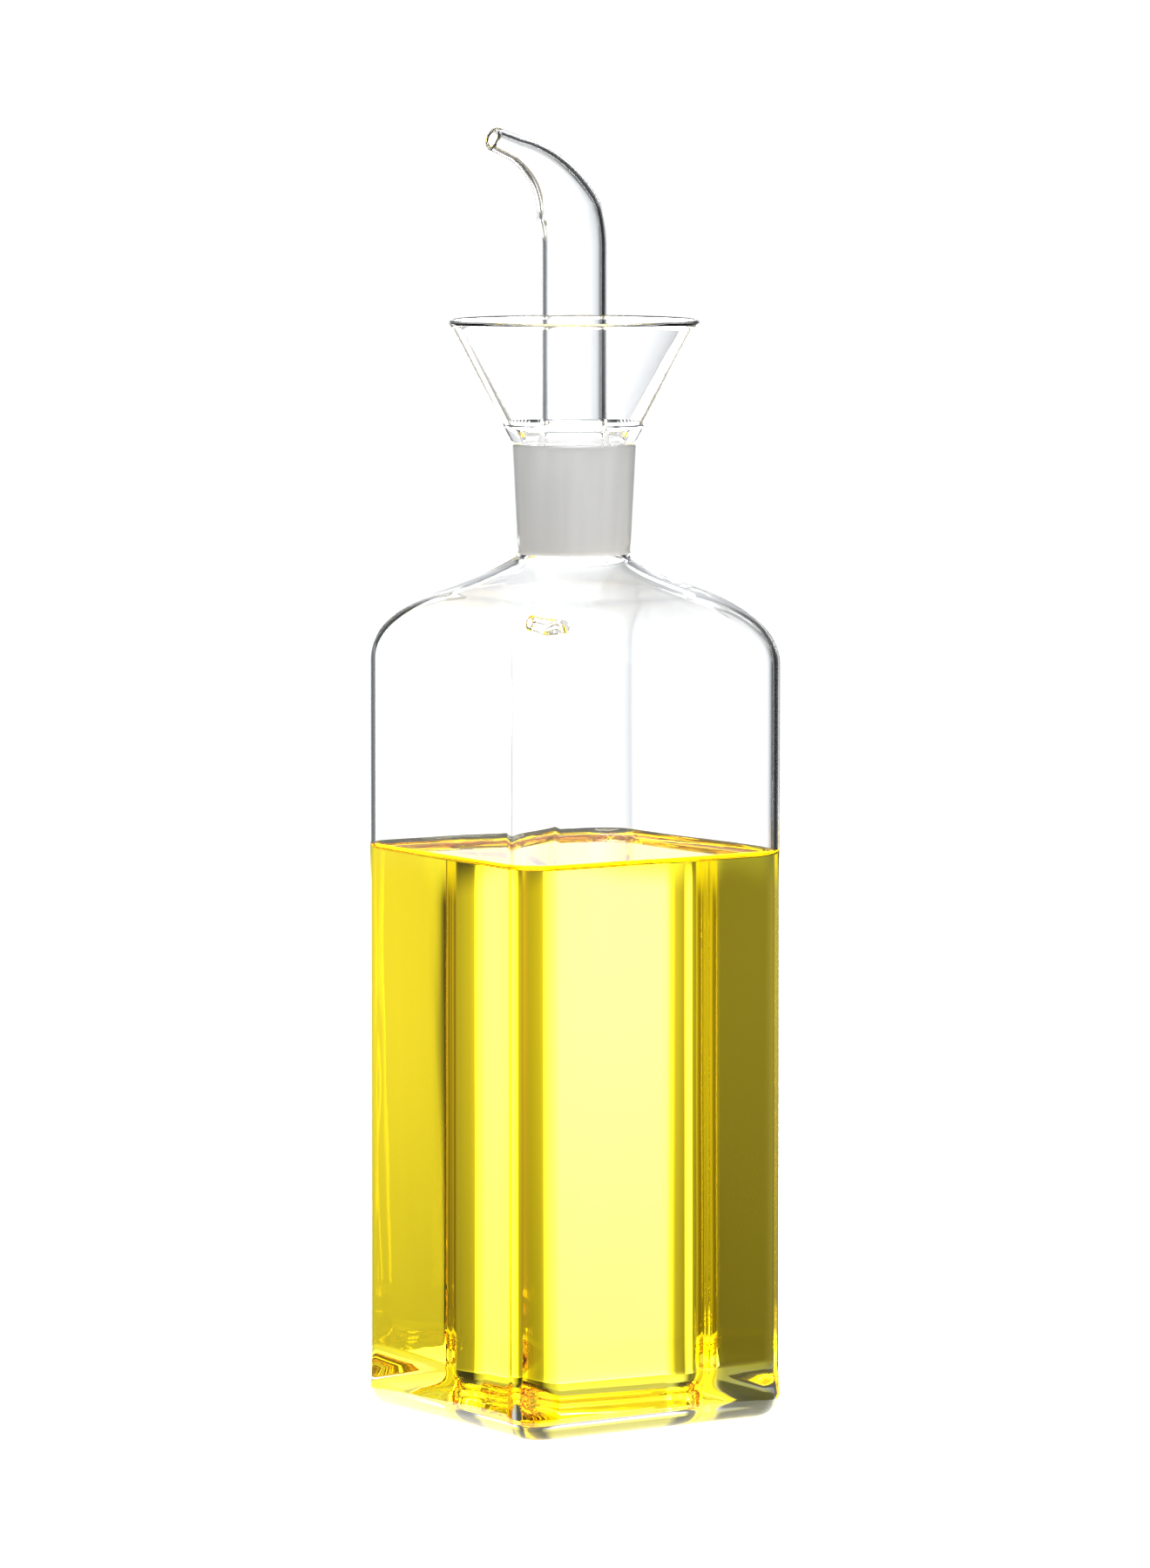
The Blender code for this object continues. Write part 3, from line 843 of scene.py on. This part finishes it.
def ramp(tree, value, stops, top, shade):
    """Colours over the azimuth: stops of (degrees, strength), strengths up to top.

    Dim stops take the shade colour, bright ones are white.
    """
    node = tree.nodes.new("ShaderNodeValToRGB")
    elements = node.color_ramp.elements
    while len(elements) < len(stops):
        elements.new(0.5)
    for element, (degrees, strength) in zip(elements, stops):
        element.position = degrees / 360.0 + 0.5
        white = min(1.0, strength / SHADE_BELOW)
        colour = [strength / top * (part + (1.0 - part) * white) for part in shade]
        element.color = (*colour, 1.0)
    tree.links.new(value, node.inputs["Fac"])
    return scaled(tree, node.outputs["Color"], top)


def scaled(tree, colour, amount):
    """The colour times an amount, which is a number or a socket."""
    node = tree.nodes.new("ShaderNodeVectorMath")
    node.operation = "SCALE"
    tree.links.new(colour, node.inputs[0])
    if isinstance(amount, float):
        node.inputs["Scale"].default_value = amount
    else:
        tree.links.new(amount, node.inputs["Scale"])
    return node.outputs["Vector"]


def smooth_step(tree, value, low, high):
    node = tree.nodes.new("ShaderNodeMapRange")
    node.interpolation_type = "SMOOTHSTEP"
    node.inputs["From Min"].default_value = low
    node.inputs["From Max"].default_value = high
    tree.links.new(value, node.inputs["Value"])
    return node.outputs["Result"]


def blend(tree, factor, first, second, kind="FLOAT"):
    """first where factor is 0, second where it is 1."""
    node = tree.nodes.new("ShaderNodeMix")
    node.data_type = kind
    sockets = [socket for socket in node.inputs if socket.name in ("A", "B") and socket.enabled]
    tree.links.new(factor, node.inputs["Factor"])
    for socket, value in zip(sockets, (first, second)):
        if isinstance(value, (float, tuple)):
            socket.default_value = value
        else:
            tree.links.new(value, socket)
    return [socket for socket in node.outputs if socket.enabled][0]


def grey(strength):
    return (strength, strength, strength, 1.0)


def make_world():
    """A white studio: panels at set azimuths around the bottle, in a low, a high and a top band."""
    world = bpy.data.worlds.new("studio")
    bpy.context.scene.world = world
    world.use_nodes = True
    tree = world.node_tree
    background = tree.nodes["Background"]
    place = tree.nodes.new("ShaderNodeTexCoord")
    behind = Vector((-math.sin(CAMERA_AZIMUTH), math.cos(CAMERA_AZIMUTH), 0.0))
    leftward = Matrix.Rotation(math.radians(90.0), 3, "Z") @ behind

    def component(direction):
        dot = tree.nodes.new("ShaderNodeVectorMath")
        dot.operation = "DOT_PRODUCT"
        dot.inputs[1].default_value = direction
        tree.links.new(place.outputs["Generated"], dot.inputs[0])
        return dot.outputs["Value"]

    angle = tree.nodes.new("ShaderNodeMath")
    angle.operation = "ARCTAN2"
    tree.links.new(component(leftward), angle.inputs[0])
    tree.links.new(component(behind), angle.inputs[1])
    share = tree.nodes.new("ShaderNodeMath")
    share.operation = "MULTIPLY_ADD"
    share.inputs[1].default_value = 0.5 / math.pi
    share.inputs[2].default_value = 0.5
    tree.links.new(angle.outputs["Value"], share.inputs[0])
    azimuth = share.outputs["Value"]
    rise = component(Vector((0.0, 0.0, 1.0)))

    low = ramp(tree, azimuth, LOW_PANELS, LOW_STRONGEST, WARM_SHADE)
    low = scaled(tree, low, blend(tree, smooth_step(tree, rise, *LOW_FADE), LOW_FADE_PART, 1.0))
    high = ramp(tree, azimuth, HIGH_PANELS, HIGH_STRONGEST, COOL_SHADE)
    above = ramp(tree, azimuth, TOP_PANELS, HIGH_STRONGEST, COOL_SHADE)
    rear = smooth_step(tree, component(behind), *FRONT_TO_REAR)
    below = blend(tree, rear, grey(FRONT_BOTTOM), grey(REAR_BOTTOM), "RGBA")
    sides = blend(tree, smooth_step(tree, rise, *LOW_TO_HIGH), low, high, "RGBA")
    sides = blend(tree, smooth_step(tree, rise, *HIGH_TO_TOP), sides, above, "RGBA")
    light = blend(tree, smooth_step(tree, rise, *BOTTOM_TO_LOW), below, sides, "RGBA")
    seen = tree.nodes.new("ShaderNodeLightPath").outputs["Is Camera Ray"]
    tree.links.new(blend(tree, seen, light, grey(BACKDROP), "RGBA"), background.inputs["Color"])


def make_light():
    """One large soft lamp overhead."""
    lamp = bpy.data.lights.new("overhead", "AREA")
    lamp.shape = "DISK"
    lamp.size = LAMP_SIZE
    lamp.energy = LAMP_POWER
    holder = bpy.data.objects.new("overhead", lamp)
    bpy.context.scene.collection.objects.link(holder)
    holder.location = LAMP_PLACE


def make_camera():
    camera = bpy.data.cameras.new("camera")
    camera.sensor_fit = "VERTICAL"
    camera.sensor_height = SENSOR_MM
    camera.lens = FOCAL_PX * SENSOR_MM / FRAME_HEIGHT_PX
    camera.shift_x = AXIS_OFFSET_PX / FRAME_HEIGHT_PX
    camera.clip_end = 20.0
    holder = bpy.data.objects.new("camera", camera)
    bpy.context.scene.collection.objects.link(holder)
    holder.location = (math.sin(CAMERA_AZIMUTH) * CAMERA_DISTANCE,
                       -math.cos(CAMERA_AZIMUTH) * CAMERA_DISTANCE, CAMERA_HEIGHT)
    holder.rotation_euler = (math.radians(90.0) - CAMERA_PITCH, 0.0, CAMERA_AZIMUTH)
    bpy.context.scene.camera = holder


clear_glass = glass_material("clear_glass", GLASS_IOR, CLEAR_SHINE)
wall_glass = glass_material("wall_glass", GLASS_IOR, WALL_SHINE)
wet_glass = glass_material("wet_glass", 1.0, FULL_SHINE)
ground_glass = ground_material()
foot_glass = glass_material("foot_glass", FOOT_IOR, FULL_SHINE)
vent_glass = glass_material("vent_glass", VENT_IOR, FULL_SHINE)

bottle_piece = make_bottle((clear_glass, wet_glass, ground_glass, wall_glass))
add_vent(bottle_piece, vent_glass)
pourer_piece = make_pourer((clear_glass, ground_glass, foot_glass))
add_drip_hole(pourer_piece)
oil_piece = make_oil(oil_material())

for piece, node, slot in (
    (bottle_piece, "bottle", "clear_glass"),
    (pourer_piece, "pourer", "ground_glass"),
    (oil_piece, "oil", "yellow_oil"),
):
    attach(piece, "root")
    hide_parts(node)

make_floor()
make_world()
make_light()
make_camera()
bpy.context.scene.view_settings.view_transform = "Standard"
cycles = bpy.context.scene.cycles
cycles.max_bounces = BOUNCES
cycles.transmission_bounces = BOUNCES
cycles.glossy_bounces = GLOSSY_BOUNCES
cycles.transparent_max_bounces = TRANSPARENT_BOUNCES
